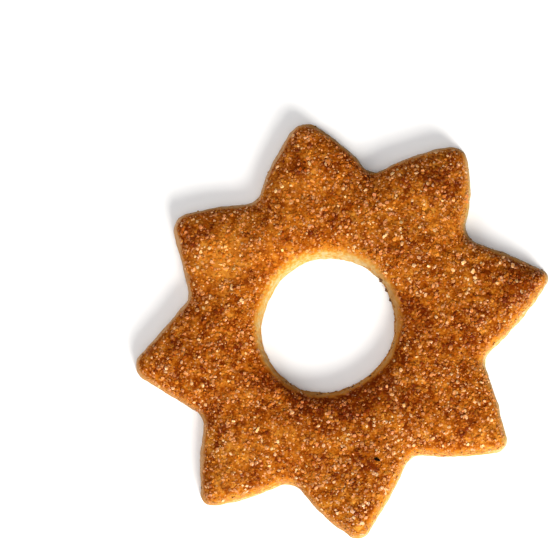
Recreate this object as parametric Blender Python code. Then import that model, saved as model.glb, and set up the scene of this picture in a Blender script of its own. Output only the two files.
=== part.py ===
"""Cinnamon star cookie: an eight-pointed ring of rolled dough, baked, with coarse sugar on top.

Sizes are in millimetres and angles in degrees, until a mesh is made in metres.
The cookie lies flat on z = 0, centred on its own bounding box, with its sugared face up.
"""

import math
import random

import bmesh
import bpy
from mathutils import Vector, noise

MM = 0.001
SEED = 23

# The star at its foot, going round: each tip, then the notch that follows it.
# A corner is its turn from +X, its reach from the middle before rounding, its rounding
# radius, and how far the side that follows it bulges.
TIPS = (
    (13.0, 45.3, 2.0, 0.3),
    (54.2, 46.4, 3.4, 0.5),
    (98.7, 43.8, 4.0, 0.5),
    (145.7, 39.7, 3.4, 0.0),
    (191.6, 42.0, 3.2, 0.1),
    (234.0, 45.1, 2.5, 0.5),
    (277.0, 44.0, 2.8, 0.2),
    (324.6, 43.1, 2.6, 0.3),
)
NOTCHES = (
    (34.0, 31.7, 4.0, 0.8),
    (76.0, 31.7, 3.0, 0.5),
    (122.0, 29.3, 4.0, 0.4),
    (168.5, 29.3, 3.0, 0.0),
    (214.5, 31.4, 3.5, 0.4),
    (255.0, 31.9, 4.0, 0.6),
    (301.0, 29.9, 3.5, 0.5),
    (347.5, 30.4, 3.0, 0.6),
)
OUTLINE_STEPS = 160
ARC_STEPS = 8
SIDE_STEPS = 12

# The hole, cut a little off the middle and not quite round: each lobe is how many
# times it swells in a turn, by how much, and its phase.
HOLE_RADIUS = 13.3
HOLE_AT = (-1.1, 0.3)
HOLE_LOBES = ((2, 0.42, -100.0), (3, 0.10, 20.0), (5, 0.08, 130.0))

# Height of the dough, how much thinner it is out at the tips, and how its face
# crowns down toward every cut edge, with the ridge out to each tip softened.
THICKNESS = 6.1
TIP_THINNING = 0.6
TIP_REACH = 44.0
CROWN_WIDTH = 8.0
CROWN_DROP = 1.8
CROWN_SOFTNESS = 1.0

# The cut edge from the underside up: a tight rounding at the foot, a leaning wall,
# and a soft shoulder where the crust domed over in the oven.
FOOT_ROUND = 0.6
WALL_LEAN = 0.45
SHOULDER_IN = 2.1
SHOULDER_DOWN = 2.3
SHOULDER_STEPS = 4
NORMAL_SPREAD = 2
TOP_ROWS = 9

# Unevenness of the baked face (broad swells, then smaller dimples) and of the walls,
# whose waves are shorter up the wall than along it.
SWELL_SIZE = 14.0
SWELL_HEIGHT = 0.28
SWELL_LAYER = 1.0
DIMPLE_SIZE = 5.0
DIMPLE_HEIGHT = 0.16
DIMPLE_LAYER = 9.0
WALL_WAVE_SIZE = 4.0
WALL_WAVE = 0.14
WALL_WAVE_SHORTER = 1.5

# The largest sugar crystals, baked into the face. Each is a hull of points set on a
# spiral round a ball and pushed part of the way out to a box.
CRYSTAL_SPACING = 4.7
CRYSTAL_JITTER = 1.1
CRYSTAL_SIZE = (0.75, 1.15)
CRYSTAL_LENGTH = (0.8, 1.15)
CRYSTAL_BREADTH = (0.75, 1.0)
CRYSTAL_SINK = 0.12
CRYSTAL_EDGE_GAP = 2.8
CRYSTAL_POINTS = 10
CRYSTAL_UNEVENNESS = 0.3
CRYSTAL_BOXINESS = 0.45
GOLDEN_ANGLE = math.pi * (3 - math.sqrt(5))

BISCUIT_COLOUR = (0.42, 0.13, 0.022, 1.0)
BISCUIT_ROUGHNESS = 0.78
SHARP_EDGE = 40


def polar(turn, reach):
    """The point at this turn, in degrees, and this reach."""
    angle = math.radians(turn)
    return Vector((reach * math.cos(angle), reach * math.sin(angle)))


def corner_arc(before, corner, after, radius):
    """Points of the arc that rounds a corner between two straight sides."""
    back = (before - corner).normalized()
    ahead = (after - corner).normalized()
    half = back.angle(ahead) / 2
    middle = corner + (back + ahead).normalized() * radius / math.sin(half)
    first = corner + back * radius / math.tan(half) - middle
    last = corner + ahead * radius / math.tan(half) - middle
    sweep = first.angle_signed(last)
    points = []
    for step in range(ARC_STEPS + 1):
        angle = -sweep * step / ARC_STEPS
        turned = Vector((
            first.x * math.cos(angle) - first.y * math.sin(angle),
            first.x * math.sin(angle) + first.y * math.cos(angle),
        ))
        points.append(middle + turned)
    return points


def bulged_side(start, end, bulge):
    """Points between two arcs, bowed outward by bulge at the middle."""
    along = end - start
    outward = Vector((along.y, -along.x)).normalized()
    points = []
    for step in range(1, SIDE_STEPS):
        share = step / SIDE_STEPS
        points.append(start + along * share + outward * bulge * math.sin(math.pi * share))
    return points


def star_corners():
    """The corners going round, each a tip or a notch."""
    corners = []
    for tip, notch in zip(TIPS, NOTCHES):
        corners.append(tip)
        corners.append(notch)
    return corners


def drawn_star():
    """The whole outline as drawn, corner by corner."""
    corners = star_corners()
    places = [polar(turn, reach) for turn, reach, radius, bulge in corners]
    count = len(corners)
    arcs = []
    for index, corner in enumerate(corners):
        after = places[(index + 1) % count]
        arcs.append(corner_arc(places[index - 1], places[index], after, corner[2]))
    points = []
    for index, corner in enumerate(corners):
        points += arcs[index]
        points += bulged_side(arcs[index][-1], arcs[(index + 1) % count][0], corner[3])
    return points


def evenly_spaced(points, count):
    """The same closed line, with this many points equally far apart along it."""
    lengths = [0.0]
    for index, point in enumerate(points):
        lengths.append(lengths[-1] + (points[(index + 1) % len(points)] - point).length)
    spaced = []
    index = 0
    for step in range(count):
        target = lengths[-1] * step / count
        while lengths[index + 1] < target:
            index += 1
        share = (target - lengths[index]) / (lengths[index + 1] - lengths[index])
        spaced.append(points[index].lerp(points[(index + 1) % len(points)], share))
    return spaced


def box_middle(points):
    """The middle of the points' bounding box."""
    xs = [point.x for point in points]
    ys = [point.y for point in points]
    return Vector(((min(xs) + max(xs)) / 2, (min(ys) + max(ys)) / 2))


def hole_point(outer, middle):
    """The foot of the hole's wall, on the line from the hole's middle to an outer point."""
    out = outer - middle
    turn = math.atan2(out.y, out.x)
    radius = HOLE_RADIUS
    for lobes, depth, phase in HOLE_LOBES:
        radius += depth * math.cos(lobes * turn + math.radians(phase))
    return middle + out.normalized() * radius


def inward_directions(points):
    """Unit vectors into the material at each outline point, softened round sharp tips."""
    count = len(points)
    plain = []
    for index in range(count):
        along = points[(index + 1) % count] - points[index - 1]
        plain.append(Vector((-along.y, along.x)).normalized())
    soft = []
    for index in range(count):
        total = Vector((0.0, 0.0))
        for offset in range(-NORMAL_SPREAD, NORMAL_SPREAD + 1):
            total += plain[(index + offset) % count]
        soft.append(total.normalized())
    return soft


def gap_to_edge(place, middle):
    """Distance from a place to the nearest cut edge, softened where two edges are near.

    The star's edges are taken as straight between its unrounded corners, the hole as round.
    """
    corners = [polar(turn, reach) - middle for turn, reach, radius, bulge in star_corners()]
    gaps = [(place - (Vector(HOLE_AT) - middle)).length - HOLE_RADIUS]
    for index, start in enumerate(corners):
        side = corners[(index + 1) % len(corners)] - start
        share = (place - start).dot(side) / side.length_squared
        share = min(max(share, 0.0), 1.0)
        gaps.append((start + side * share - place).length)
    return -CROWN_SOFTNESS * math.log(sum(math.exp(-gap / CROWN_SOFTNESS) for gap in gaps))


def top_height(place, middle):
    """Height of the baked face above the underside."""
    far = min(place.length / TIP_REACH, 1.0)
    fall = max(1 - gap_to_edge(place, middle) / CROWN_WIDTH, 0.0)
    height = THICKNESS - TIP_THINNING * far ** 3 - CROWN_DROP * fall ** 2
    swell = noise.noise(Vector((place.x, place.y, SWELL_LAYER)) / SWELL_SIZE)
    dimple = noise.noise(Vector((place.x, place.y, DIMPLE_LAYER)) / DIMPLE_SIZE)
    return height + SWELL_HEIGHT * swell + DIMPLE_HEIGHT * dimple


def edge_profile():
    """The cut edge as (inset, share of the shoulder's rise or None, height) rows, going up."""
    rows = [(FOOT_ROUND, None, 0.0)]
    slant = FOOT_ROUND * (1 - math.sqrt(0.5))
    rows.append((slant, None, slant))
    rows.append((0.0, None, FOOT_ROUND))
    for step in range(SHOULDER_STEPS + 1):
        angle = math.radians(90 * step / SHOULDER_STEPS)
        inset = WALL_LEAN + SHOULDER_IN * (1 - math.cos(angle))
        rows.append((inset, math.sin(angle), None))
    return rows


def edge_point(foot, inward, row, middle):
    """One point of the cut edge, above a foot point of the outline."""
    inset, rise, height = row
    if rise is not None:
        place = foot + inward * inset
        height = top_height(place, middle) - SHOULDER_DOWN * (1 - rise)
    wave = noise.noise(Vector((foot.x, foot.y, height * WALL_WAVE_SHORTER)) / WALL_WAVE_SIZE)
    lifted = min(height / FOOT_ROUND, 1.0)
    place = foot + inward * (inset + WALL_WAVE * wave * lifted)
    return Vector((place.x, place.y, height))


def column(outer, inner, inward, middle):
    """The closed section at one place round the ring, from the outer foot over to the hole's."""
    outward = (outer - inner).normalized()
    profile = edge_profile()
    outside = [edge_point(outer, inward, row, middle) for row in profile]
    inside = [edge_point(inner, outward, row, middle) for row in reversed(profile)]
    start = outside[-1].xy
    end = inside[0].xy
    face = []
    for step in range(1, TOP_ROWS):
        place = start.lerp(end, step / TOP_ROWS)
        face.append(Vector((place.x, place.y, top_height(place, middle))))
    return outside + face + inside


def ring_mesh(outline, hole, middle):
    """The dough as a closed mesh: each column joined to the next one round."""
    bm = bmesh.new()
    columns = []
    for outer, inner, inward in zip(outline, hole, inward_directions(outline)):
        points = column(outer, inner, inward, middle)
        columns.append([bm.verts.new(point * MM) for point in points])
    rows = len(columns[0])
    for index, here in enumerate(columns):
        there = columns[(index + 1) % len(columns)]
        for row in range(rows):
            after = (row + 1) % rows
            bm.faces.new((here[row], there[row], there[after], here[after]))
    bmesh.ops.triangulate(bm, faces=bm.faces)
    bmesh.ops.recalc_face_normals(bm, faces=bm.faces)
    mesh = bpy.data.meshes.new("star_cookie")
    bm.to_mesh(mesh)
    bm.free()
    return mesh


def is_on_face(place, outline, hole, middle):
    """Whether a place lies on the face, well inside both cut edges."""
    outer = min(outline, key=lambda point: (point - place).length)
    inner = min(hole, key=lambda point: (point - place).length)
    on_ring = inner.length < place.length < outer.length
    return on_ring and gap_to_edge(place, middle) > CRYSTAL_EDGE_GAP


def crystal_places(outline, hole, middle, rng):
    """Places on a sunflower spiral, each nudged a little, kept where they fall on the face."""
    count = int(math.pi * TIP_REACH ** 2 / CRYSTAL_SPACING ** 2)
    places = []
    for index in range(count):
        reach = TIP_REACH * math.sqrt((index + 0.5) / count)
        place = polar(math.degrees(index * GOLDEN_ANGLE), reach)
        place.x += rng.uniform(-CRYSTAL_JITTER, CRYSTAL_JITTER)
        place.y += rng.uniform(-CRYSTAL_JITTER, CRYSTAL_JITTER)
        if is_on_face(place, outline, hole, middle):
            places.append(place)
    return places


def crystal_mesh(rng):
    """One blunt, blocky sugar crystal: the hull of points pushed out toward a box."""
    size = rng.uniform(*CRYSTAL_SIZE)
    stretch = Vector((
        rng.uniform(*CRYSTAL_LENGTH),
        rng.uniform(*CRYSTAL_BREADTH),
        rng.uniform(*CRYSTAL_BREADTH),
    ))
    bm = bmesh.new()
    for index in range(CRYSTAL_POINTS):
        lift = 1 - 2 * (index + 0.5) / CRYSTAL_POINTS
        around = index * GOLDEN_ANGLE + rng.uniform(-CRYSTAL_UNEVENNESS, CRYSTAL_UNEVENNESS)
        flat = math.sqrt(1 - lift * lift)
        point = Vector((flat * math.cos(around), flat * math.sin(around), lift))
        boxed = point / max(abs(point.x), abs(point.y), abs(point.z))
        blocky = point.lerp(boxed, CRYSTAL_BOXINESS) * stretch * size / 2
        bm.verts.new(blocky * MM)
    bmesh.ops.convex_hull(bm, input=bm.verts)
    bmesh.ops.recalc_face_normals(bm, faces=bm.faces)
    mesh = bpy.data.meshes.new("crystal")
    bm.to_mesh(mesh)
    bm.free()
    return mesh


def scatter_crystals(outline, hole, middle):
    """The crystals, each sunk a little more than half way into the face."""
    rng = random.Random(SEED)
    crystals = bpy.data.collections.new("crystals")
    bpy.context.scene.collection.children.link(crystals)
    for place in crystal_places(outline, hole, middle, rng):
        crystal = bpy.data.objects.new("crystal", crystal_mesh(rng))
        height = top_height(place, middle) - CRYSTAL_SINK
        crystal.location = Vector((place.x, place.y, height)) * MM
        crystal.rotation_euler = [rng.uniform(0, math.tau) for axis in range(3)]
        crystals.objects.link(crystal)
    return crystals


def fuse(body, crystals):
    """Joins the crystals to the dough by one Boolean union, then removes them."""
    union = body.modifiers.new("fuse_crystals", "BOOLEAN")
    union.operation = "UNION"
    union.operand_type = "COLLECTION"
    union.collection = crystals
    bpy.context.view_layer.update()
    depsgraph = bpy.context.evaluated_depsgraph_get()
    fused = bpy.data.meshes.new_from_object(body.evaluated_get(depsgraph))
    body.modifiers.clear()
    body.data = fused
    for crystal in list(crystals.objects):
        bpy.data.objects.remove(crystal)
    bpy.data.collections.remove(crystals)


def biscuit_material():
    """Browned, sugared biscuit crust."""
    material = bpy.data.materials.new("baked_biscuit")
    material.use_nodes = True
    shader = material.node_tree.nodes["Principled BSDF"]
    shader.inputs["Base Color"].default_value = BISCUIT_COLOUR
    shader.inputs["Roughness"].default_value = BISCUIT_ROUGHNESS
    shader.inputs["Metallic"].default_value = 0.0
    return material


def build():
    """The cookie, as one solid."""
    for old in list(bpy.data.objects):
        bpy.data.objects.remove(old)
    star = drawn_star()
    middle = box_middle(star)
    outline = [point - middle for point in evenly_spaced(star, OUTLINE_STEPS)]
    hole = [hole_point(outer, Vector(HOLE_AT) - middle) for outer in outline]
    body = bpy.data.objects.new("star_cookie", ring_mesh(outline, hole, middle))
    bpy.context.scene.collection.objects.link(body)
    fuse(body, scatter_crystals(outline, hole, middle))
    body.data.materials.clear()
    body.data.materials.append(biscuit_material())
    body.data.shade_smooth()
    body.data.set_sharp_from_angle(angle=math.radians(SHARP_EDGE))


build()
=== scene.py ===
"""Cinnamon star cookie: browned dough under a crust of cinnamon sugar, on a white table."""
import math

import bmesh
import bpy
import numpy as np
from mathutils import Matrix, Vector, noise


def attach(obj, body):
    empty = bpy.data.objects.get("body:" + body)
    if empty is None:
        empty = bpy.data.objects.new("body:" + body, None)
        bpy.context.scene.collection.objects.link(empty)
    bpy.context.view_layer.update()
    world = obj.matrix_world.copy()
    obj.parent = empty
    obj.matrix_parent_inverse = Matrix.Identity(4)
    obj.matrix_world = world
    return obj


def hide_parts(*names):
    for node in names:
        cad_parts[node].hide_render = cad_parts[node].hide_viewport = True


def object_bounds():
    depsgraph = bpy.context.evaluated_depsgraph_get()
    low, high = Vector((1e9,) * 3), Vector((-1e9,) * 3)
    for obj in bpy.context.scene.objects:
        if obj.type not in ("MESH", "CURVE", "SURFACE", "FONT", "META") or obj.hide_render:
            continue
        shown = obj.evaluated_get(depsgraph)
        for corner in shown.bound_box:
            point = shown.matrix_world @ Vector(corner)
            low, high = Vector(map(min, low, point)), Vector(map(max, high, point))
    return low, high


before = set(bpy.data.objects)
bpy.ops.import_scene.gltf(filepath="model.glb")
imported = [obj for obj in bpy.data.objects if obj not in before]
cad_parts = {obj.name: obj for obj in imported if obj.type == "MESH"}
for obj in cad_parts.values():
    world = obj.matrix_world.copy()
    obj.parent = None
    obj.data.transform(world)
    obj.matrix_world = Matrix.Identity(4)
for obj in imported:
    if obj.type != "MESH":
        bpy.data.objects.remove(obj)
cad_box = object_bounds()

# ---------------------------------------------------------------------------
# The dough: one sheet of rolled spice dough, cut with a star cutter and a round
# one, and baked flat on a tray. Its cut edges stay golden, its face is browned,
# and its shoulder has puffed up into a soft rounding. Lengths are millimetres.
# ---------------------------------------------------------------------------
MM = 0.001

# Each corner: turn, reach before rounding, rounding radius, bulge of the next side.
TIPS = (
    (13.0, 45.3, 2.0, 0.3),
    (54.2, 46.4, 3.4, 0.5),
    (98.7, 43.8, 4.0, 0.5),
    (145.7, 39.7, 3.4, 0.0),
    (191.6, 42.0, 3.2, 0.1),
    (234.0, 45.1, 2.5, 0.5),
    (277.0, 44.0, 2.8, 0.2),
    (324.6, 43.1, 2.6, 0.3),
)
NOTCHES = (
    (34.0, 31.7, 4.0, 0.8),
    (76.0, 31.7, 3.0, 0.5),
    (122.0, 29.3, 4.0, 0.4),
    (168.5, 29.3, 3.0, 0.0),
    (214.5, 31.4, 3.5, 0.4),
    (255.0, 31.9, 4.0, 0.6),
    (301.0, 29.9, 3.5, 0.5),
    (347.5, 30.4, 3.0, 0.6),
)
HOLE_RADIUS = 13.3
HOLE_AT = (-1.1, 0.3)
# How the hole is out of round, as (lobes, depth, phase).
HOLE_LOBES = ((2, 0.42, -100.0), (3, 0.10, 20.0), (5, 0.08, 130.0))

THICKNESS = 6.1
TIP_THINNING = 0.6
TIP_REACH = 44.0
CROWN_WIDTH = 8.0
CROWN_DROP = 1.8
CROWN_SOFTNESS = 1.0

# Each noise: the size of its bumps, and a layer of its own.
SWELL = (14.0, 1.0)
DIMPLE = (5.0, 9.0)
WALL_WAVE = (4.0, 0.0)
SWELL_HEIGHT = 0.28
DIMPLE_HEIGHT = 0.16
WALL_WAVE_DEPTH = 0.14
WALL_WAVE_CLIMB = 1.5

FOOT_ROUND = 0.6
WALL_LEAN = 0.45
SHOULDER_IN = 2.1
SHOULDER_DOWN = 2.3

ARC_STEPS = 16
SIDE_STEPS = 24
AROUND = 540
NORMAL_SPREAD = 7
FOOT_ROWS = 4
WALL_ROWS = 10
SHOULDER_ROWS = 14
FACE_ROWS = 84
UNDER_ROWS = 30


def polar(turn, reach):
    angle = math.radians(turn)
    return Vector((reach * math.cos(angle), reach * math.sin(angle)))


def corner_arc(before, corner, after, radius):
    back = (before - corner).normalized()
    ahead = (after - corner).normalized()
    half = back.angle(ahead) / 2
    middle = corner + (back + ahead).normalized() * radius / math.sin(half)
    first = corner + back * radius / math.tan(half) - middle
    last = corner + ahead * radius / math.tan(half) - middle
    sweep = -first.angle_signed(last)
    turns = [sweep * step / ARC_STEPS for step in range(ARC_STEPS + 1)]
    return [middle + Matrix.Rotation(turn, 2) @ first for turn in turns]


def bulged_side(start, end, bulge):
    along = end - start
    outward = Vector((along.y, -along.x)).normalized()
    shares = [step / SIDE_STEPS for step in range(1, SIDE_STEPS)]
    return [start + along * share + outward * bulge * math.sin(math.pi * share) for share in shares]


def star_outline(count):
    corners = [corner for pair in zip(TIPS, NOTCHES) for corner in pair]
    places = [polar(corner[0], corner[1]) for corner in corners]
    arcs = []
    for index, corner in enumerate(corners):
        after = places[(index + 1) % len(places)]
        arcs.append(corner_arc(places[index - 1], places[index], after, corner[2]))
    drawn = []
    for index, corner in enumerate(corners):
        drawn += arcs[index]
        drawn += bulged_side(arcs[index][-1], arcs[(index + 1) % len(arcs)][0], corner[3])
    points = np.array(drawn + drawn[:1])
    length = np.concatenate([[0], np.cumsum(np.linalg.norm(np.diff(points, axis=0), axis=1))])
    wanted = np.arange(count) / count * length[-1]
    return np.stack([np.interp(wanted, length, points[:, axis]) for axis in (0, 1)], 1)


def noise_at(points, size, layer):
    """Smooth noise from -1 to 1 at points in millimetres, with bumps of this size."""
    lift = Vector((0.0, 0.0, layer))
    return np.array([noise.noise((Vector(point) + lift) / size) for point in points])


def smooth_step(value, low, high):
    share = np.clip((value - low) / (high - low), 0, 1)
    return share * share * (3 - 2 * share)


def directions(vectors):
    return vectors / np.linalg.norm(vectors, axis=1, keepdims=True)


outline = star_outline(AROUND)
star_middle = (outline.min(0) + outline.max(0)) / 2
outline = outline - star_middle
hole_middle = np.array(HOLE_AT) - star_middle

spoke = directions(outline - hole_middle)
spoke_turn = np.arctan2(spoke[:, 1], spoke[:, 0])
hole_reach = HOLE_RADIUS + sum(
    depth * np.cos(lobes * spoke_turn + math.radians(phase)) for lobes, depth, phase in HOLE_LOBES
)
hole_foot = hole_middle + spoke * hole_reach[:, None]


def gap_to_edge(flat):
    """Distance from places (x, y) to the nearest cut edge, softened where two edges are near."""
    drawn = [polar(corner[0], corner[1]) for pair in zip(TIPS, NOTCHES) for corner in pair]
    start = np.array(drawn) - star_middle
    side = np.roll(start, -1, axis=0) - start
    off = flat[:, None] - start[None]
    share = np.clip(np.sum(off * side, axis=2) / np.sum(side * side, axis=1), 0, 1)
    gaps = np.linalg.norm(off - side * share[:, :, None], axis=2)
    hole_gap = np.linalg.norm(flat - hole_middle, axis=1) - HOLE_RADIUS
    near = np.exp(-gaps / CROWN_SOFTNESS).sum(1) + np.exp(-hole_gap / CROWN_SOFTNESS)
    return -CROWN_SOFTNESS * np.log(near)


def top_height(flat):
    """Height of the baked face at places (x, y)."""
    far = np.minimum(np.linalg.norm(flat, axis=1) / TIP_REACH, 1)
    fall = np.maximum(1 - gap_to_edge(flat) / CROWN_WIDTH, 0)
    ground = np.column_stack([flat, np.zeros(len(flat))])
    crowned = THICKNESS - TIP_THINNING * far**3 - CROWN_DROP * fall**2
    return crowned + SWELL_HEIGHT * noise_at(ground, *SWELL) + DIMPLE_HEIGHT * noise_at(ground, *DIMPLE)


along = np.roll(outline, -1, axis=0) - np.roll(outline, 1, axis=0)
inward = directions(np.stack([-along[:, 1], along[:, 0]], 1))
shifts = range(-NORMAL_SPREAD, NORMAL_SPREAD + 1)
inward = directions(sum(np.roll(inward, shift, axis=0) for shift in shifts))


def cut_edge(foot, into):
    """Rows of points up one cut edge, from the underside's rim to the start of the face."""
    rows = []
    for step in range(FOOT_ROWS + 1):
        angle = math.radians(90 * step / FOOT_ROWS)
        inset = FOOT_ROUND * (1 - math.sin(angle))
        height = np.full(len(foot), FOOT_ROUND * (1 - math.cos(angle)))
        rows.append((inset, height))
    shoulder_foot = top_height(foot + into * WALL_LEAN) - SHOULDER_DOWN
    for step in range(1, WALL_ROWS):
        share = step / WALL_ROWS
        rows.append((WALL_LEAN * share, FOOT_ROUND + (shoulder_foot - FOOT_ROUND) * share))
    for step in range(SHOULDER_ROWS + 1):
        angle = math.radians(90 * step / SHOULDER_ROWS)
        inset = WALL_LEAN + SHOULDER_IN * (1 - math.cos(angle))
        height = top_height(foot + into * inset) - SHOULDER_DOWN * (1 - math.sin(angle))
        rows.append((inset, height))
    edge = []
    for inset, height in rows:
        wave = noise_at(np.column_stack([foot, height * WALL_WAVE_CLIMB]), *WALL_WAVE)
        inset = inset + WALL_WAVE_DEPTH * wave * np.minimum(height / FOOT_ROUND, 1)
        edge.append(np.column_stack([foot + into * inset[:, None], height]))
    return edge


outer_edge = cut_edge(outline, inward)
hole_edge = cut_edge(hole_foot, spoke)[::-1]
face_rows = []
for step in range(1, FACE_ROWS):
    flat = outer_edge[-1][:, :2] + (hole_edge[0][:, :2] - outer_edge[-1][:, :2]) * step / FACE_ROWS
    face_rows.append(np.column_stack([flat, top_height(flat)]))
under_rows = []
for step in range(1, UNDER_ROWS):
    flat = hole_edge[-1][:, :2] + (outer_edge[0][:, :2] - hole_edge[-1][:, :2]) * step / UNDER_ROWS
    under_rows.append(np.column_stack([flat, np.zeros(AROUND)]))

# The skin: rows of points up the outer edge, over the face, down the hole and back below.
skin = np.array(outer_edge + face_rows + hole_edge + under_rows)
ROWS = len(skin)
EDGE_ROWS = len(outer_edge)
SHOULDER_FROM = EDGE_ROWS - SHOULDER_ROWS - 1
HOLE_FROM = EDGE_ROWS + FACE_ROWS - 1
UNDER_FROM = HOLE_FROM + EDGE_ROWS

# How far each row is from the face, over the shoulder (0 on the face, 1 on the wall).
turned_down = np.zeros(ROWS)
turned_down[:SHOULDER_FROM] = 1
turned_down[SHOULDER_FROM:EDGE_ROWS] = np.cos(np.radians(90 * np.arange(SHOULDER_ROWS + 1) / SHOULDER_ROWS))
turned_down[HOLE_FROM:UNDER_FROM] = turned_down[:EDGE_ROWS][::-1]
is_under = np.zeros(ROWS)
is_under[UNDER_FROM:] = 1
is_under[[0, UNDER_FROM - 1]] = 1

points = skin.reshape(-1, 3)
down = np.repeat(turned_down, AROUND)
under = np.repeat(is_under, AROUND)
near_hole = np.repeat(np.arange(ROWS) >= HOLE_FROM, AROUND)

# Broad patches on the face, as (x, y, radius, strength) from the star's middle.
PATCH_SPREAD = 0.7
# Painted light: some gilt patches, at the hole's upper left, light the crown's slopes that face the key
# lamp.
GOLDEN_AND_LIT_PATCHES = (
    (-22.0, 13.0, 4.5, 1.6),
    (-13.0, 16.0, 4.0, 0.5),
    (-6.0, 27.5, 4.5, 0.4),
    (9.0, 17.5, 3.5, 0.3),
    (21.0, 20.5, 4.0, 0.3),
    (-21.0, -30.0, 2.6, 0.5),
    (-16.5, -25.0, 3.5, 0.4),
    (-16.0, -13.5, 3.0, 0.4),
    (-8.5, -20.5, 3.0, 0.3),
    (13.0, -22.5, 3.0, 0.2),
    (28.5, -22.0, 4.0, 0.3),
)
# Painted shade: some cinnamon patches darken slopes that face away, below the hole and on the right point,
# and the one at (6, -26.5) is the bark chip's painted shadow.
CINNAMON_AND_SHADE_PATCHES = (
    (37.5, 8.5, 4.0, 2.0),
    (26.0, 6.0, 5.5, 0.1),
    (26.0, -2.5, 4.0, 1.0),
    (15.5, 4.0, 3.5, 0.6),
    (-12.5, -11.0, 3.0, 0.9),
    (-5.0, -16.0, 3.0, 1.6),
    (3.5, -16.5, 3.0, 1.7),
    (11.0, -12.5, 3.0, 1.1),
    (16.0, -16.0, 3.0, 0.6),
    (-28.5, 17.5, 3.0, 1.2),
    (-23.5, 21.5, 3.0, 0.4),
    (5.0, 31.0, 3.0, 0.5),
    (20.5, 28.0, 3.0, 0.9),
    (-25.0, -16.5, 3.0, 0.8),
    (-20.5, -20.0, 2.5, 0.7),
    (6.0, -26.5, 3.0, 0.6),
    (-16.0, 6.5, 3.5, 0.4),
    (33.0, 1.0, 3.0, 0.2),
    (3.0, -35.0, 3.5, 0.3),
)
# Where the crust is made redder, and, below nought, where it is made paler.
RUDDY_PATCHES = (
    (-10.0, 12.0, 7.0, 1.1),
    (-13.0, -6.0, 7.0, 0.9),
    (-30.0, 5.0, 8.0, 0.5),
    (-2.0, 32.0, 7.0, 0.4),
    (12.0, 20.0, 6.0, -0.3),
    (22.0, 30.0, 7.0, -0.8),
    (30.0, 2.0, 8.0, -0.5),
    (41.0, 9.0, 6.0, -0.8),
    (10.0, -22.0, 8.0, -0.5),
    (3.0, -37.0, 9.0, -1.1),
    (-18.0, -30.0, 8.0, -0.5),
)


def patches_at(flat, patches):
    from_middle = flat + star_middle
    total = np.zeros(len(flat))
    for x, y, radius, strength in patches:
        reach = radius * PATCH_SPREAD
        total += strength * np.exp(-np.sum((from_middle - (x, y)) ** 2, axis=1) / (2 * reach**2))
    return total


DRIFT = (6.5, 40.0)
MOTTLE = (2.3, 60.0)
FINE = (1.0, 80.0)
drift = noise_at(points, *DRIFT)
mottle = noise_at(points, *MOTTLE)
fine = noise_at(points, *FINE)
golden_and_lit = patches_at(points[:, :2], GOLDEN_AND_LIT_PATCHES)
ruddy = patches_at(points[:, :2], RUDDY_PATCHES)

# How far the hole's rim is painted in shade, from 0 on its side that faces the key lamp to 1 on the side
# across from it.
HOLE_LIT_SIDE = 107
from_hole = points[:, :2] - hole_middle
hole_gap = np.linalg.norm(from_hole, axis=1) - HOLE_RADIUS
turn_at_hole = np.arctan2(from_hole[:, 1], from_hole[:, 0])
hole_shaded_side = 0.5 - 0.5 * np.cos(turn_at_hole - math.radians(HOLE_LIT_SIDE))

# How thick the cinnamon lies, from 0 to 1, with painted shade in it: its mean, what each noise and patch
# adds or takes, and the painted shade it heaps on the hole's shaded rim and the painted light that thins it
# on the lit one.
DUSTING_MEAN = 0.5
DUSTING_DRIFT = 0.27
DUSTING_MOTTLE = 0.34
DUSTING_FINE = 0.42
DUSTING_IN_PATCH = 0.42
DUSTING_IN_GOLDEN = -0.45
PAINTED_SHADE_AT_SHADED_RIM = 0.45
PAINTED_LIGHT_AT_LIT_RIM = -0.3
RIM_BAND = (5.0, 2.5)
dusting_and_shade = DUSTING_MEAN + DUSTING_DRIFT * drift + DUSTING_MOTTLE * mottle + DUSTING_FINE * fine
dusting_and_shade += DUSTING_IN_PATCH * patches_at(points[:, :2], CINNAMON_AND_SHADE_PATCHES) + DUSTING_IN_GOLDEN * golden_and_lit
# Painted shade heaped on the hole's shaded rim, and painted light thinning the cinnamon on its lit rim.
painted_rim_light_and_shade = PAINTED_SHADE_AT_SHADED_RIM * hole_shaded_side**2 + PAINTED_LIGHT_AT_LIT_RIM * (1 - hole_shaded_side) ** 2
dusting_and_shade += painted_rim_light_and_shade * smooth_step(hole_gap, *RIM_BAND)
dusting_and_shade = np.clip(dusting_and_shade, 0, 1)

# The cut edges are paler than the face: tan, and yellower as painted light on the hole's side and the outer
# stretch that face the key lamp.
# Each stretch of the outer edge: the way it faces, and the cosines of the angle from there at which it
# begins and is in full. The lit stretches face the key lamp and the shaded ones face away, for painted
# light and shade.
SHADED_FAR_EDGE = (90, -0.1, 0.6)
SHADED_LEFT_EDGE = (205, 0.2, 0.9)
LIT_NEAR_EDGE = (285, 0.7, 0.98)
LIT_RIGHT_EDGE = (340, 0.55, 0.95)
HALF_SHADED_EDGE = (225, 0.25, 0.95)
LIT_YELLOW_EDGE = (312, 0.25, 0.9)
SHADED_ROSY_EDGE = (155, 0.3, 0.9)


def edge_share(facing, stretch):
    """How much an edge that faces this way belongs to a stretch, from 0 to 1."""
    middle, begins, full = stretch
    return smooth_step(np.cos(facing - math.radians(middle)), begins, full)


# Where down the edge the pale band begins and is in full (0 on the face, 1 on the wall).
BAND_FROM = 0.4
BAND_FROM_SHADED_FAR = 0.25
BAND_FROM_LIT_NEAR = -0.16
BAND_FROM_SHADED_LEFT = 0.16
BAND_FULL = 1.06
HOLE_BAND_FROM = 0.02
HOLE_BAND_FROM_SHADED = 0.55
HOLE_BAND_FULL = 1.12
BAND_WOBBLE = 0.16
facing = np.tile(np.arctan2(-inward[:, 1], -inward[:, 0]), ROWS)
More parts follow.
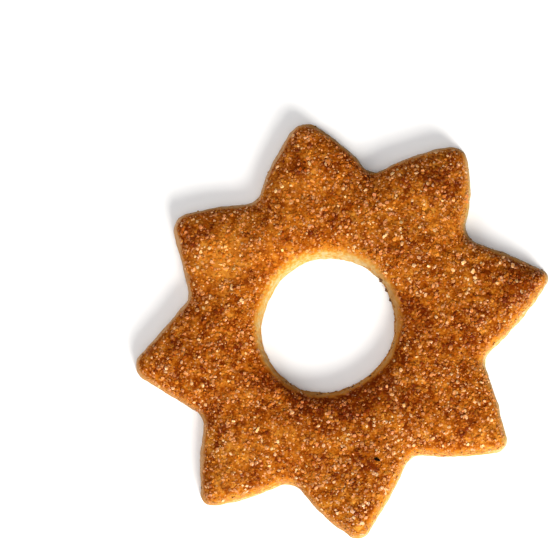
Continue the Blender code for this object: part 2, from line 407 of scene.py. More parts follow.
# Painted light and shade: the band begins nearer the face on the lit stretches and further down the wall on
# the shaded ones.
shaded_far_share = edge_share(facing, SHADED_FAR_EDGE)
lit_near_share = np.maximum(edge_share(facing, LIT_RIGHT_EDGE), edge_share(facing, LIT_NEAR_EDGE))
band_from = BAND_FROM + BAND_FROM_SHADED_FAR * shaded_far_share + BAND_FROM_LIT_NEAR * lit_near_share
band_from = band_from + BAND_FROM_SHADED_LEFT * edge_share(facing, SHADED_LEFT_EDGE)
rough_down = down + BAND_WOBBLE * mottle + BAND_WOBBLE * fine

# How pale the band is, and how much the low wall adds.
BAND_PALENESS = 0.65
LOW_WALL_PALENESS = 0.35
# Painted shade: the low wall is less pale on the shaded far stretch, and the band duller on the half-shaded
# one.
LOW_WALL_PALENESS_SHADED_FAR = -0.1
LOW_WALL_TOP = THICKNESS - SHOULDER_DOWN - 1.0
LOW_WALL_FADE = 1.5
HALF_SHADED_EDGE_DULLS = 0.28
HOLE_SHADED_SIDE_DULLS = 0.38
low_wall = np.clip((LOW_WALL_TOP - points[:, 2]) / LOW_WALL_FADE, 0, 1)
outer_pale = BAND_PALENESS * smooth_step(rough_down, band_from, BAND_FULL)
outer_pale += (LOW_WALL_PALENESS + LOW_WALL_PALENESS_SHADED_FAR * shaded_far_share) * low_wall
outer_pale *= 1 - HALF_SHADED_EDGE_DULLS * edge_share(facing, HALF_SHADED_EDGE)
# Painted shade: on the hole's shaded side the pale band begins further down the wall and is duller.
hole_pale = smooth_step(rough_down, HOLE_BAND_FROM + HOLE_BAND_FROM_SHADED * hole_shaded_side, HOLE_BAND_FULL)
hole_pale *= 1 - HOLE_SHADED_SIDE_DULLS * hole_shaded_side
pale = np.where(near_hole, hole_pale, outer_pale)

# Painted light: the walls turn yellower where they face the key lamp, on the hole's lit side and on the lit
# outer stretch.
HOLE_MOST_LIT_SIDE = 122
HOLE_YELLOW_POWER = 2.5
EDGE_YELLOWNESS = 0.8
EDGE_ROSINESS = 0.6
ROSY_BAND = (0.7, 1.0)
hole_lit_yellow = 0.5 + 0.5 * np.cos(turn_at_hole - math.radians(HOLE_MOST_LIT_SIDE))
edge_lit_yellow = EDGE_YELLOWNESS * edge_share(facing, LIT_YELLOW_EDGE)
lit_yellow = np.where(near_hole, hole_lit_yellow**HOLE_YELLOW_POWER, edge_lit_yellow)
# Painted light on the shaded side: the left-facing walls, turned from the key lamp, are tinted a lighter
# rose.
edge_shaded_rosy = EDGE_ROSINESS * edge_share(facing, SHADED_ROSY_EDGE) * smooth_step(rough_down, *ROSY_BAND)
shaded_rosy = np.where(near_hole, 0, edge_shaded_rosy)

# Relief: crags and pits left by steam on the face, a smoother skin down the walls,
# torn a little by the cutter, and faint ridges from the rolling pin near one point.
GRIT = (0.55, 20.0)
PIT = (1.5, 30.0)
TORN = (1.7, 70.0)
CRAG_HEIGHT = 0.055
GRIT_HEIGHT = 0.04
PIT_DEPTH = 0.16
PIT_BAND = (0.25, 0.6)
WALL_CALMER = 0.55
TORN_DEPTH = 0.12
TORN_FINE_DEPTH = 0.08
UNDER_PIT_GAIN = 1.2
RIDGE_AT = (17, 17)
RIDGE_ACROSS = (-0.34, 0.94)
RIDGE_PITCH = 2.3
RIDGE_HEIGHT = 0.05
RIDGE_SPREAD = 120
crag = CRAG_HEIGHT * fine + GRIT_HEIGHT * noise_at(points, *GRIT)
pit = -PIT_DEPTH * smooth_step(noise_at(points, *PIT), *PIT_BAND)
star_x, star_y = (points[:, :2] + star_middle).T
ridge_phase = (star_y * RIDGE_ACROSS[1] + star_x * RIDGE_ACROSS[0]) * 2 * math.pi / RIDGE_PITCH
from_ridges = (star_x - RIDGE_AT[0]) ** 2 + (star_y - RIDGE_AT[1]) ** 2
ridges = RIDGE_HEIGHT * np.sin(ridge_phase) * np.exp(-from_ridges / RIDGE_SPREAD)
torn = TORN_DEPTH * noise_at(points, *TORN) + TORN_FINE_DEPTH * fine
relief = (crag + pit) * (1 - WALL_CALMER * down) + ridges * (1 - down) + torn * down * (under < 0.5)
relief = np.where(under > 0.5, np.minimum(relief, 0) * UNDER_PIT_GAIN, relief)

across = np.roll(skin, -1, axis=0) - np.roll(skin, 1, axis=0)
around = np.roll(skin, -1, axis=1) - np.roll(skin, 1, axis=1)
outward = -directions(np.cross(across, around).reshape(-1, 3))
points = points + outward * relief[:, None]
points[:, 2] = np.maximum(points[:, 2], 0)
low_corner, high_corner = (np.array(corner) / MM for corner in cad_box)
points[:, :2] = np.clip(points[:, :2], low_corner[:2], high_corner[:2])

row_index, column_index = np.divmod(np.arange(ROWS * AROUND), AROUND)
next_row = (row_index + 1) % ROWS * AROUND
next_column = (column_index + 1) % AROUND
quad_corners = [
    row_index * AROUND + column_index,
    row_index * AROUND + next_column,
    next_row + next_column,
    next_row + column_index,
]
quads = np.stack(quad_corners, 1)

dough_mesh = bpy.data.meshes.new("dough")
dough_mesh.from_pydata((points * MM).tolist(), [], quads.tolist())
dough_mesh.shade_smooth()
RUDDY_SCALE = 0.4
fields = (
    ("dusting_and_shade", dusting_and_shade),
    ("pale", pale),
    ("golden_and_lit", golden_and_lit),
    ("lit_yellow", lit_yellow),
    ("shaded_rosy", shaded_rosy),
    ("ruddy", np.clip(0.5 + RUDDY_SCALE * ruddy, 0, 1)),
    ("under", under),
)
for name, values in fields:
    layer = dough_mesh.attributes.new(name, "FLOAT", "POINT")
    layer.data.foreach_set("value", values.astype(np.float32))

# The colour map: once round the star from left to right, once round the section upward.
CLOSING_ROW = 0.3
section = np.concatenate([[0], np.cumsum(np.linalg.norm(np.diff(skin.mean(1), axis=0), axis=1))])
section = np.append(section, section[-1] + CLOSING_ROW)
section_share = section / section[-1]
u = np.stack([column_index, column_index + 1, column_index + 1, column_index], 1) / AROUND
v = np.stack([row_index, row_index, row_index + 1, row_index + 1], 1)
layer = dough_mesh.uv_layers.new(name="OFBake", do_init=False)
layer.uv.foreach_set("vector", np.stack([u, section_share[v]], 2).astype(np.float32).ravel())
dough = bpy.data.objects.new("baked_dough", dough_mesh)
bpy.context.scene.collection.objects.link(dough)


# A spot fades out between these distances from the middle of its cell.
SPOT_BAND = (0.25, 0.5)


class Nodes:
    """Short ways to add and link the nodes of one material."""

    def __init__(self, name):
        self.material = bpy.data.materials.new(name)
        self.material.use_nodes = True
        self.tree = self.material.node_tree
        self.shader = self.tree.nodes["Principled BSDF"]
        self.place = self.tree.nodes.new("ShaderNodeTexCoord").outputs["Object"]

    def add(self, kind, inputs, **settings):
        node = self.tree.nodes.new(kind)
        for key, value in settings.items():
            setattr(node, key, value)
        for key, value in inputs.items():
            if isinstance(value, bpy.types.NodeSocket):
                self.tree.links.new(value, node.inputs[key])
            else:
                node.inputs[key].default_value = value
        return node

    def noise(self, size, detail=2.0, roughness=0.5):
        inputs = {"Vector": self.place, "Scale": 1 / (size * MM), "Detail": detail, "Roughness": roughness}
        return self.add("ShaderNodeTexNoise", inputs).outputs["Fac"]

    def band(self, value, low, high, to_low=0.0, to_high=1.0):
        inputs = {0: value, 1: low, 2: high, 3: to_low, 4: to_high}
        return self.add("ShaderNodeMapRange", inputs, interpolation_type="SMOOTHSTEP").outputs[0]

    def attribute(self, name, output="Fac"):
        return self.add("ShaderNodeAttribute", {}, attribute_name=name).outputs[output]

    def mix(self, share, first, second, blend="MIX"):
        inputs = {0: share, 6: first, 7: second}
        return self.add("ShaderNodeMix", inputs, data_type="RGBA", blend_type=blend).outputs[2]

    def cells(self, size, output):
        inputs = {"Vector": self.place, "Scale": 1 / (size * MM)}
        return self.add("ShaderNodeTexVoronoi", inputs).outputs[output]

    def spots(self, size, from_share, to_share):
        """Round spots, in as many of the cells as the two shares say."""
        near = self.band(self.cells(size, "Distance"), *SPOT_BAND, 1.0, 0.0)
        chosen = self.band(self.cells(size, "Color"), from_share, to_share)
        return self.times(near, chosen)

    def plus(self, first, second):
        return self.add("ShaderNodeMath", {0: first, 1: second}, operation="ADD").outputs[0]

    def times(self, first, second):
        return self.add("ShaderNodeMath", {0: first, 1: second}, operation="MULTIPLY").outputs[0]

    def ramp(self, value, stops):
        node = self.add("ShaderNodeValToRGB", {"Fac": value})
        elements = node.color_ramp.elements
        while len(elements) < len(stops):
            elements.new(0.5)
        for element, (position, colour) in zip(elements, stops):
            element.position = position
            element.color = (*colour, 1)
        return node.outputs["Color"]

    def link(self, output, socket):
        self.tree.links.new(output, self.shader.inputs[socket])

    def set(self, socket, value):
        self.shader.inputs[socket].default_value = value


# The crust's colours, each ramp from its darkest tone to its lightest.
FACE_TONES = (
    (0.00, (0.110, 0.012, 0.0002)),
    (0.25, (0.170, 0.028, 0.0004)),
    (0.50, (0.260, 0.057, 0.0015)),
    (0.75, (0.370, 0.106, 0.006)),
    (1.00, (0.510, 0.196, 0.022)),
)
WALL_TONES = (
    (0.00, (0.350, 0.094, 0.005)),
    (0.25, (0.358, 0.120, 0.012)),
    (0.50, (0.368, 0.156, 0.032)),
    (0.75, (0.380, 0.205, 0.076)),
    (1.00, (0.390, 0.255, 0.134)),
)
# Painted light: the yellower tones of the walls that face the key lamp.
LIT_YELLOW_TONES = (
    (0.09, (0.410, 0.112, 0.005)),
    (0.34, (0.425, 0.160, 0.013)),
    (0.56, (0.430, 0.222, 0.034)),
    (0.73, (0.435, 0.278, 0.066)),
    (0.86, (0.440, 0.320, 0.118)),
    (1.00, (0.445, 0.350, 0.170)),
)
UNDER_TONES = (
    (0.20, (0.15, 0.035, 0.004)),
    (0.45, (0.26, 0.075, 0.010)),
    (0.80, (0.38, 0.150, 0.030)),
)
GILT = (0.47, 0.160, 0.016, 1)
SUNK_GRAIN = (0.42, 0.140, 0.020, 1)
SUNK_DUST = (0.46, 0.180, 0.045, 1)
# Painted light on the shaded side: the rose tint of the left-facing walls.
SHADED_ROSE = (0.49, 0.285, 0.150, 1)
SINGED = (0.33, 0.120, 0.018, 1)
PALER = (1, 1.19, 1.55, 1)
REDDER = (1, 0.84, 0.62, 1)

# Each noise of the crust: the size of its bumps, its detail and its roughness.
SPECKLE_NOISE = (0.4, 2.0, 0.6)
MOTTLED_NOISE = (2.0, 3.0, 0.55)
STREAK_NOISE = (0.7, 3.0, 0.6)
BUMP_NOISE = (0.5, 3.0, 0.6)
crust = Nodes("browned_crust")
speckle = crust.noise(*SPECKLE_NOISE)
mottled = crust.noise(*MOTTLED_NOISE)

# The face: mottled, darker under the cinnamon and its painted shade, gilt where it is bare and where light
# is painted, with grains sunk in it.
# The spots are given by their size and by the two shares of cells that hold them.
FACE_MOTTLING = 1.9
FACE_DARKENING = -0.80
FACE_SHIFT = -0.62
GILT_SHARE = 0.35
SUNK_GRAIN_SPOTS = (0.62, 0.35, 0.75)
SUNK_GRAIN_SHARE = 0.6
SUNK_DUST_SPOTS = (0.45, 0.6, 0.9)
SUNK_DUST_SHARE = 0.5
tone = crust.plus(crust.times(mottled, FACE_MOTTLING), speckle)
tone = crust.plus(tone, crust.times(crust.attribute("dusting_and_shade"), FACE_DARKENING))
face_colour = crust.ramp(crust.plus(tone, FACE_SHIFT), FACE_TONES)
face_colour = crust.mix(crust.times(crust.attribute("golden_and_lit"), GILT_SHARE), face_colour, GILT)
sunk_grains = crust.times(crust.spots(*SUNK_GRAIN_SPOTS), SUNK_GRAIN_SHARE)
face_colour = crust.mix(sunk_grains, face_colour, SUNK_GRAIN)
sunk_dust = crust.times(crust.spots(*SUNK_DUST_SPOTS), SUNK_DUST_SHARE)
face_colour = crust.mix(sunk_dust, face_colour, SUNK_DUST)
ruddiness = crust.mix(crust.attribute("ruddy"), PALER, REDDER)
face_colour = crust.mix(1.0, face_colour, ruddiness, "MULTIPLY")

# The walls: tan, yellower as painted light where they face the key lamp, rose as painted light on the
# shaded left, streaked, with singed specks.
STREAK_MOTTLING = 0.5
WALL_STREAKING = 0.6
WALL_SHIFT = -0.45
YELLOW_PALENESS = 0.86
YELLOW_STREAKING = 1.6
YELLOW_SHIFT = -1.191
SINGED_SPOTS = (0.5, 0.6, 0.8)
SINGED_SHARE = 0.4
WALL_BAND = (0.0, 0.25)
streaked = crust.plus(crust.noise(*STREAK_NOISE), crust.times(mottled, STREAK_MOTTLING))
wall_tone = crust.plus(crust.attribute("pale"), crust.times(streaked, WALL_STREAKING))
wall_colour = crust.ramp(crust.plus(wall_tone, WALL_SHIFT), WALL_TONES)
lit_yellow_tone = crust.times(crust.attribute("pale"), YELLOW_PALENESS)
lit_yellow_tone = crust.plus(lit_yellow_tone, crust.times(streaked, YELLOW_STREAKING))
lit_yellow_colour = crust.ramp(crust.plus(lit_yellow_tone, YELLOW_SHIFT), LIT_YELLOW_TONES)
wall_colour = crust.mix(crust.attribute("lit_yellow"), wall_colour, lit_yellow_colour)
wall_colour = crust.mix(crust.attribute("shaded_rosy"), wall_colour, SHADED_ROSE)
wall_specks = crust.times(crust.spots(*SINGED_SPOTS), SINGED_SHARE)
wall_colour = crust.mix(wall_specks, wall_colour, SINGED)
side_colour = crust.mix(crust.band(crust.attribute("pale"), *WALL_BAND), face_colour, wall_colour)

# The underside, and the dull, finely pitted surface of the whole.
UNDER_SPECKLING = 0.2
CRUST_SHINE = 0.01
CRUST_ROUGHNESS = 0.7
BUMP_STRENGTH = 0.4
BUMP_DISTANCE = 0.07
under_colour = crust.ramp(crust.plus(mottled, crust.times(speckle, UNDER_SPECKLING)), UNDER_TONES)
crust.link(crust.mix(crust.attribute("under"), side_colour, under_colour), "Base Color")
crust.set("Specular IOR Level", CRUST_SHINE)
crust.set("Roughness", CRUST_ROUGHNESS)
bump_inputs = {
    "Strength": BUMP_STRENGTH,
    "Distance": BUMP_DISTANCE * MM,
    "Height": crust.plus(crust.noise(*BUMP_NOISE), sunk_grains),
}
bump = crust.add("ShaderNodeBump", bump_inputs)
crust.link(bump.outputs["Normal"], "Normal")
dough_mesh.materials.append(crust.material)
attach(dough, "root")
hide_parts("star_cookie")

# ---------------------------------------------------------------------------
# Fine sugar: granulated cane sugar shaken over the dough before baking. Most of
# its small blocky grains are stained by the cinnamon and half sunk in the crust.
# ---------------------------------------------------------------------------
FINE_COUNT = 13000
FINE_SIZES = (0.26, 0.48)
FINE_UNEVENNESS = (0.75, 1.25)
FINE_SINK = 0.06
FINE_DUST = 0.55
FINE_POINTS = 8
FINE_SEEDS = range(6)
FINE_ROUGHNESS = 0.42
FINE_SHINE = 0.03
FLATNESS = 0.35
BOXINESS = 0.75
LEAN = 0.22
AMBER = (0.37, 0.103, 0.005)
TAN = (0.52, 0.200, 0.027)
ROSE_TAN = (0.61, 0.285, 0.125)
CREAM = (0.80, 0.54, 0.32)
BURNT = (0.20, 0.036, 0.001)
EDGE_GRAIN = (0.52, 0.25, 0.08)
# Painted shade: grains are darker and redder at their foot, where they meet the crust, and more so where
# the cinnamon lies thick.
FOOT_SHADE_AND_STAIN = (0.80, 0.60, 0.36)
RUDDY_TINT = (1.0, 0.87, 0.70)
FINE_TINTS = ((0.40, AMBER), (0.34, TAN), (0.21, ROSE_TAN), (0.05, CREAM))

# The grains may lie on the face, over its shoulders, a few rows down the outer walls and
# anywhere down the hole's wall. Where the dough there is pale, hardly any do.
ROWS_DOWN_THE_WALL = 5
may_hold_grains = (row_index >= SHOULDER_FROM - ROWS_DOWN_THE_WALL) & (row_index < UNDER_FROM - 1)
face_quads = quads[may_hold_grains]
centre = points[face_quads].mean(1)
side_a = points[face_quads[:, 2]] - points[face_quads[:, 0]]
side_b = points[face_quads[:, 3]] - points[face_quads[:, 1]]
quad_normal = -np.cross(side_a, side_b)
quad_area = np.linalg.norm(quad_normal, axis=1) / 2
quad_normal = directions(quad_normal)
quad_dusting_and_shade = dusting_and_shade[face_quads].mean(1)
quad_ruddy = ruddy[face_quads].mean(1)
quad_pale = pale[face_quads].mean(1)
quad_hole_shaded_side = hole_shaded_side[face_quads].mean(1)
quad_hole_gap = hole_gap[face_quads].mean(1)
quad_at_hole = near_hole[face_quads].mean(1)


def scattered(count, weight, rng):
    """Evenly drawn places on the face, as (place, normal, quad)."""
    total = np.cumsum(quad_area * weight)
    drawn = (np.arange(count) + rng.uniform(0, 1, count)) / count * total[-1]
    quad = np.searchsorted(total, drawn)
    share = rng.uniform(0, 1, (count, 2))
    corner = points[face_quads[quad]]
    top = corner[:, 0] + (corner[:, 1] - corner[:, 0]) * share[:, :1]
    bottom = corner[:, 3] + (corner[:, 2] - corner[:, 3]) * share[:, :1]
    return top + (bottom - top) * share[:, 1:], quad_normal[quad], quad


def drawn_sizes(count, sizes, unevenness, flatness, rng):
    """Sizes between two limits, and each grain's lengths along its own three axes."""
    size = rng.uniform(*sizes, count)
    return size, size[:, None] * rng.uniform(*unevenness, (count, 3)) * (1, 1, flatness)


def sunk(place, normal, size, share):
    """Places moved into the crust by this share of each grain's size."""
    return place - normal * (size * share)[:, None]


# The hull's points wind down a ball by this angle each, in radians, give or take some jitter.
GOLDEN_ANGLE = 2.4
JITTER = (-0.3, 0.3)


def blocky_grain(points_wanted, seed, boxiness):
    """One blunt crystal of unit size: the hull of points pushed out toward a box."""
    rng = np.random.default_rng(seed)
    hull = bmesh.new()
    for index in range(points_wanted):
        lift = 1 - 2 * (index + 0.5) / points_wanted
        turn = index * GOLDEN_ANGLE + rng.uniform(*JITTER)
        flat = math.sqrt(1 - lift * lift)
        point = Vector((flat * math.cos(turn), flat * math.sin(turn), lift))
        boxed = point / max(abs(part) for part in point)
        hull.verts.new(point.lerp(boxed, boxiness) / 2)
    bmesh.ops.convex_hull(hull, input=hull.verts)
    loose = [vertex for vertex in hull.verts if not vertex.link_faces]
    bmesh.ops.delete(hull, geom=loose, context="VERTS")
    bmesh.ops.recalc_face_normals(hull, faces=hull.faces)
    hull.verts.index_update()
    shape = np.array([vertex.co for vertex in hull.verts])
    faces = np.array([[vertex.index for vertex in face.verts] for face in hull.faces])
    hull.free()
    return shape, faces


def lying_turns(normal, lean, rng):
    """Turns that lay each grain's third axis along the crust's normal, give or take some lean."""
    up = directions(normal + rng.normal(0, lean, normal.shape))
    along = directions(np.cross(up, rng.normal(size=normal.shape)))
    return np.stack([along, np.cross(up, along), up], 2)


# How much one grain's colour differs from the next: in brightness, and in each channel.
BRIGHTNESS = (0.72, 1.22)
CHANNEL_DRIFT = (0.94, 1.06)
BURNT_BRIGHTNESS = (0.8, 1.3)


def tinted(count, tints, rng):
    """A colour for each grain, drawn from (share, colour) pairs and varied a little."""
    shares = np.array([share for share, colour in tints])
    pick = rng.choice(len(tints), count, p=shares / shares.sum())
    colour = np.array([colour for share, colour in tints])[pick]
    brightness = rng.uniform(*BRIGHTNESS, (count, 1))
    return colour * brightness * rng.uniform(*CHANNEL_DRIFT, (count, 3))


def partly_burnt(colour, share, rng):
    """The same colours, with this share of the grains burnt dark."""
    burnt = rng.uniform(0, 1, len(colour)) < share
    burnt_colour = np.array(BURNT) * rng.uniform(*BURNT_BRIGHTNESS, (len(colour), 1))
    return np.where(burnt[:, None], burnt_colour, colour)


# The cinnamon, with its painted shade, at which a grain keeps its colour, and how each channel follows the
# shade.
NEUTRAL_DUSTING = 0.4
LIGHTER_POWERS = (1.0, 0.9, -0.5)
DARKER_POWERS = (1.0, 1.25, 1.1)
EDGE_GRAIN_BAND = (0.08, 0.35)
FOOT_SHADING = 0.3
FOOT_SHADING_BY_CINNAMON = 1.2


def dusted(colour, quad, strength):
    """Grain colours made darker by the cinnamon and the painted shade among them, and redder where the
    crust is.
    """
    shade = 1 + strength * (NEUTRAL_DUSTING - quad_dusting_and_shade[quad])[:, None]
    powers = np.where(shade > 1, LIGHTER_POWERS, DARKER_POWERS)
    return colour * shade**powers * np.array(RUDDY_TINT) ** quad_ruddy[quad][:, None]


def paler_at_edge(colour, pale_share):
    """Grain colours turned toward the paler dough of the cut edge."""
    share = smooth_step(pale_share, *EDGE_GRAIN_BAND)[:, None]
    return colour * (1 - share) + np.array(EDGE_GRAIN) * share


def foot_colours(colour, cover):
    """Grain colours at the foot, with painted shade where they meet the crust, darkest and reddest where
    the cinnamon lies thick.
    """
    foot_darkening = FOOT_SHADING + FOOT_SHADING_BY_CINNAMON * cover[:, None]
    return colour * np.array(FOOT_SHADE_AND_STAIN) ** foot_darkening


# Grains keep clear of the table and of the part's greatest height.
FLOOR_CLEARANCE = 0.05
TOP_CLEARANCE = 0.02
# A grain's colour changes from its foot's painted shade to its own between these heights, in sizes.
FOOT_BAND = (-0.5, 0.25)
# On the colour map each grain has a square, filled in part by the grain seen at a slant.
MAP_SLANT = (0.31, 0.23)
MAP_FILL = 0.7
MAP_MARGIN = 0.15


def grain_piece(name, shapes, place, turn, stretch, colour, foot, material):
    """One joined mesh of grains, each with its own colour and its own square of the colour map."""
    count = len(place)
    side = math.ceil(math.sqrt(count))
    all_points = []
    all_faces = []
    all_colours = []
    all_maps = []
    start = 0
    for kind, (shape, faces) in enumerate(shapes):
        mine = np.arange(kind, count, len(shapes))
        body = shape[None] * stretch[mine][:, None]
        body = np.einsum("nij,nkj->nki", turn[mine], body) + place[mine][:, None]
        over = body[:, :, 2].max(1) - (high_corner[2] - TOP_CLEARANCE)
        below = FLOOR_CLEARANCE - body[:, :, 2].min(1)
        body[:, :, 2] += (np.maximum(below, 0) - np.maximum(over, 0))[:, None]
        all_points.append(body.reshape(-1, 3))
        offset = start + np.arange(len(mine)) * len(shape)
        all_faces.append((faces[None] + offset[:, None, None]).reshape(-1, 3))
        above = smooth_step(shape[:, 2], *FOOT_BAND)[None, :, None]
        shaded = foot[mine][:, None] + (colour - foot)[mine][:, None] * above
        all_colours.append(shaded.reshape(-1, 3))
        cell = np.stack(np.divmod(mine, side)[::-1], 1)
        slanted = shape[:, :2] + shape[:, 2:] * MAP_SLANT
        inner = (slanted - slanted.min(0)) / np.ptp(slanted, axis=0) * MAP_FILL + MAP_MARGIN
        maps = (cell[:, None] + inner[None]) / side
        all_maps.append(maps[:, faces.ravel()].reshape(-1, 2))
        start += len(mine) * len(shape)
    mesh = bpy.data.meshes.new(name)
    mesh.from_pydata((np.concatenate(all_points) * MM).tolist(), [], np.concatenate(all_faces).tolist())
    tint = mesh.attributes.new("tint", "FLOAT_COLOR", "POINT")
    colours = np.concatenate(all_colours)
    opaque = np.column_stack([colours, np.ones(len(colours))])
    tint.data.foreach_set("color", opaque.astype(np.float32).ravel())
    layer = mesh.uv_layers.new(name="OFBake", do_init=False)
    layer.uv.foreach_set("vector", np.concatenate(all_maps).astype(np.float32).ravel())
    mesh.materials.append(material)
    piece = bpy.data.objects.new(name, mesh)
    bpy.context.scene.collection.objects.link(piece)
    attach(piece, "root")
    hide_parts("star_cookie")


# The clouds inside a grain: their size, the noise's range, and the brightness it gives.
CLOUD_SIZE = 0.3
CLOUD_BAND = (0.3, 0.7)
CLOUD_BRIGHTNESS = (0.82, 1.12)
SUGAR_IOR = 1.54


def sugar_material(name, roughness, shine):
    """Sugar in each grain's own tint, slightly clouded."""
    sugar = Nodes(name)
    cloud = sugar.band(sugar.noise(CLOUD_SIZE), *CLOUD_BAND, *CLOUD_BRIGHTNESS)
    inputs = {0: sugar.attribute("tint", "Color"), "Scale": cloud}
    clouded = sugar.add("ShaderNodeVectorMath", inputs, operation="SCALE")
    sugar.link(clouded.outputs[0], "Base Color")
    sugar.set("Roughness", roughness)
    sugar.set("IOR", SUGAR_IOR)
    sugar.set("Specular IOR Level", shine)
    return sugar.material


# Where the grains lie: in clumps, more of them in the cinnamon, fewer down the pale edges and round the
# hole's rim on its shaded side, which is left bare as painted shade.
CLUMP = (1.3, 120.0)
CLUMP_BAND = (-0.35, 0.35)
BETWEEN_CLUMPS = 0.5
COVER_LEAST = 0.8
COVER_BY_CINNAMON = 0.4
LIT_EDGE = (-60, -0.2, 0.6)
BARE_FROM_AT_EDGE = 0.22
BARE_FROM_AT_LIT_EDGE = 0.35
BARE_FROM_AT_HOLE = 0.26
BARE_FROM_AT_SHADED_RIM = -0.18
BARE_BAND = 0.3
BARE_SHARE = 0.995
BARE_RIM = (2.6, 1.3)
BARE_RIM_SHARE = 0.85
clump = BETWEEN_CLUMPS + smooth_step(noise_at(centre, *CLUMP), *CLUMP_BAND)
lit_share = edge_share(facing[face_quads[:, 0]], LIT_EDGE)
bare_at_hole = BARE_FROM_AT_HOLE + BARE_FROM_AT_SHADED_RIM * quad_hole_shaded_side
bare_at_edge = BARE_FROM_AT_EDGE + BARE_FROM_AT_LIT_EDGE * lit_share
bare_from = np.where(quad_at_hole > 0.5, bare_at_hole, bare_at_edge)
bare = BARE_SHARE * smooth_step(quad_pale, bare_from, bare_from + BARE_BAND)
# Painted shade: the hole's rim is left bare of grains on its shaded side.
bare_rim = BARE_RIM_SHARE * smooth_step(quad_hole_gap, *BARE_RIM) * quad_hole_shaded_side**2
sugar_cover = clump * (COVER_LEAST + COVER_BY_CINNAMON * quad_dusting_and_shade) * (1 - bare) * (1 - bare_rim)

# Well inside the edges, more grains are burnt where the cinnamon, or the painted shade in it, is thick.
INNER_BAND = (1.5, 4.0)
BURNT_BAND = (0.45, 0.9)
BURNT_MOST = 0.45
inner_share = smooth_step(gap_to_edge(centre[:, :2]), *INNER_BAND)
burnt_share = BURNT_MOST * smooth_step(quad_dusting_and_shade, *BURNT_BAND) * inner_share

SCATTER_SEED = 11
rng = np.random.default_rng(SCATTER_SEED)
place, normal, quad = scattered(FINE_COUNT, sugar_cover, rng)
size, stretch = drawn_sizes(FINE_COUNT, FINE_SIZES, FINE_UNEVENNESS, FLATNESS, rng)
colour = partly_burnt(tinted(FINE_COUNT, FINE_TINTS, rng), burnt_share[quad], rng)
colour = paler_at_edge(dusted(colour, quad, FINE_DUST), quad_pale[quad])
place = sunk(place, normal, size, FINE_SINK)
shapes = [blocky_grain(FINE_POINTS, seed, BOXINESS) for seed in FINE_SEEDS]
foot = foot_colours(colour, quad_dusting_and_shade[quad])
turn = lying_turns(normal, LEAN, rng)
stained = sugar_material("stained_sugar", FINE_ROUGHNESS, FINE_SHINE)
grain_piece("fine_sugar", shapes, place, turn, stretch, colour, foot, stained)

# ---------------------------------------------------------------------------
# Medium sugar: the ordinary granulated grains, blockier and paler, that show one
# by one over the whole face.
# ---------------------------------------------------------------------------
MEDIUM_COUNT = 4000
MEDIUM_SIZES = (0.45, 0.75)
MEDIUM_UNEVENNESS = (0.65, 1.25)
MEDIUM_SINK = 0.07
MEDIUM_DUST = 0.45
MEDIUM_POINTS = 12
MEDIUM_SEEDS = range(10, 18)
MEDIUM_ROUGHNESS = 0.35
MEDIUM_SHINE = 0.05
MEDIUM_TINTS = ((0.34, AMBER), (0.34, TAN), (0.25, ROSE_TAN), (0.07, CREAM))

place, normal, quad = scattered(MEDIUM_COUNT, sugar_cover, rng)
size, stretch = drawn_sizes(MEDIUM_COUNT, MEDIUM_SIZES, MEDIUM_UNEVENNESS, FLATNESS, rng)
colour = partly_burnt(tinted(MEDIUM_COUNT, MEDIUM_TINTS, rng), burnt_share[quad], rng)
colour = paler_at_edge(dusted(colour, quad, MEDIUM_DUST), quad_pale[quad])
place = sunk(place, normal, size, MEDIUM_SINK)
shapes = [blocky_grain(MEDIUM_POINTS, seed, BOXINESS) for seed in MEDIUM_SEEDS]
foot = foot_colours(colour, quad_dusting_and_shade[quad])
turn = lying_turns(normal, LEAN, rng)
tan = sugar_material("tan_sugar", MEDIUM_ROUGHNESS, MEDIUM_SHINE)
grain_piece("medium_sugar", shapes, place, turn, stretch, colour, foot, tan)

# ---------------------------------------------------------------------------
# Coarse crystals: the largest grains, cleaner than the rest, which catch the
# light. They sit highest on the crust.
# ---------------------------------------------------------------------------
COARSE_COUNT = 600
COARSE_SIZES = (0.42, 0.78)
COARSE_UNEVENNESS = (0.65, 1.1)
COARSE_LENGTHENING = (1.0, 1.6)
COARSE_FLATNESS = 0.5
COARSE_LEAN = 0.3
COARSE_SINK = 0.08
COARSE_POINTS = 18
COARSE_BOXINESS = 0.8
COARSE_SEEDS = range(30, 38)
COARSE_ROUGHNESS = 0.22
COARSE_SHINE = 0.25
COARSE_TINTS = ((0.42, TAN), (0.37, ROSE_TAN), (0.21, CREAM))

place, normal, quad = scattered(COARSE_COUNT, sugar_cover, rng)
size, stretch = drawn_sizes(COARSE_COUNT, COARSE_SIZES, COARSE_UNEVENNESS, COARSE_FLATNESS, rng)
stretch[:, 0] *= rng.uniform(*COARSE_LENGTHENING, COARSE_COUNT)
colour = tinted(COARSE_COUNT, COARSE_TINTS, rng)
place = sunk(place, normal, size, COARSE_SINK)
shapes = [blocky_grain(COARSE_POINTS, seed, COARSE_BOXINESS) for seed in COARSE_SEEDS]
foot = foot_colours(colour, quad_dusting_and_shade[quad])
turn = lying_turns(normal, COARSE_LEAN, rng)
clear = sugar_material("clear_sugar", COARSE_ROUGHNESS, COARSE_SHINE)
grain_piece("coarse_crystals", shapes, place, turn, stretch, colour, foot, clear)

